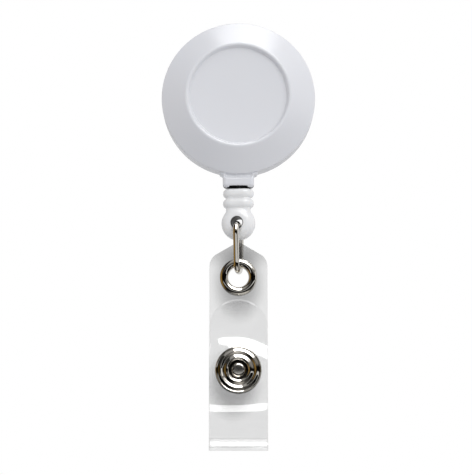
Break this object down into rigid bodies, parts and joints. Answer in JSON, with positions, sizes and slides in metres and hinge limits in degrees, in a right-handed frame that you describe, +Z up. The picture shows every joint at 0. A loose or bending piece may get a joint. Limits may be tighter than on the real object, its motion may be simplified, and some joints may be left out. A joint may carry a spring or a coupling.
{
  "type": "retractable badge reel",
  "caption": "Round white spring reel with a belt clip, a cord with a ribbed end piece and wire link, and a clear snap strap that closes through a badge slot.",
  "frame": {"origin": "middle of the belt clip's throat, on the case's axis", "axes": "+Z up, away from the cord; the label seat faces -Y; +X is to the right seen from the front"},
  "size_m": [0.032, 0.013, 0.0889],
  "materials": {
    "white_case": "glossy moulded",
    "grey_inner": "plain moulded",
    "nickel": "polished nickel plate",
    "spring_steel": "oiled strip",
    "cord": "braided nylon",
    "clear_vinyl": "clear flexible vinyl"
  },
  "bodies": {
    "case": {"front_cover": "white_case", "rear_cover": "white_case", "clip_plate": "nickel", "clip_bend": "nickel", "clip_rivet": "nickel", "cord_lead": "cord"},
    "leaf": {"clip_leaf": "nickel"},
    "reel": {"spool": "white_case", "spring_cover": "grey_inner", "power_spring": "spring_steel", "cord_winding": "cord"},
    "cord": {"cord_run": "cord", "cord_knot": "cord"},
    "end_piece": {"cord_end": "white_case"},
    "wire_link": {"link": "nickel"},
    "strap": {"strap_front": "clear_vinyl", "strap_fold": "clear_vinyl", "grommet": "nickel", "grommet_washer": "nickel", "snap_post": "nickel", "snap_stud": "nickel"},
    "flap": {"strap_flap": "clear_vinyl", "snap_socket": "nickel", "snap_ring": "spring_steel", "snap_cap": "nickel"}
  },
  "joints": [
    {"name": "cord_pull", "type": "slide", "parent": "case", "child": "cord", "axis": [0, 0, -1], "range_m": [0, 0.86], "stiffness_N_per_m": 1.5, "springref_m": -0.4, "deforming": ["cord_run"]},
    {"name": "spool_spin", "type": "hinge", "parent": "case", "child": "reel", "pos_m": [0, -0.0042, 0], "axis": [0, 1, 0], "range_deg": [0, 5040], "deforming": ["power_spring"]},
    {"name": "end_swivel", "type": "hinge", "parent": "cord", "child": "end_piece", "pos_m": [0, -0.0044, -0.0213], "axis": [0, 0, 1], "continuous": true},
    {"name": "link_swing", "type": "hinge", "parent": "end_piece", "child": "wire_link", "pos_m": [0, -0.0044, -0.0262], "axis": [0.1736, 0.9848, 0], "range_deg": [-80, 80]},
    {"name": "strap_pitch", "type": "hinge", "parent": "wire_link", "child": "strap", "pos_m": [0, -0.0044, -0.0343], "axis": [0.9848, -0.1736, 0], "range_deg": [-24, 24]},
    {"name": "flap_open", "type": "hinge", "parent": "strap", "child": "flap", "pos_m": [0, -0.0044, -0.0729], "axis": [-1, 0, 0], "range_deg": [0, 120], "stiffness_Nm_per_rad": 0.002, "deforming": ["strap_fold", "snap_ring"]},
    {"name": "clip_flex", "type": "hinge", "parent": "case", "child": "leaf", "pos_m": [0, 0.0012, 0.011], "axis": [1, 0, 0], "range_deg": [0, 9], "stiffness_Nm_per_rad": 0.6}
  ],
  "couplings": [
    {"joint": "spool_spin", "follows": "cord_pull", "rad_per_m": 102}
  ]
}
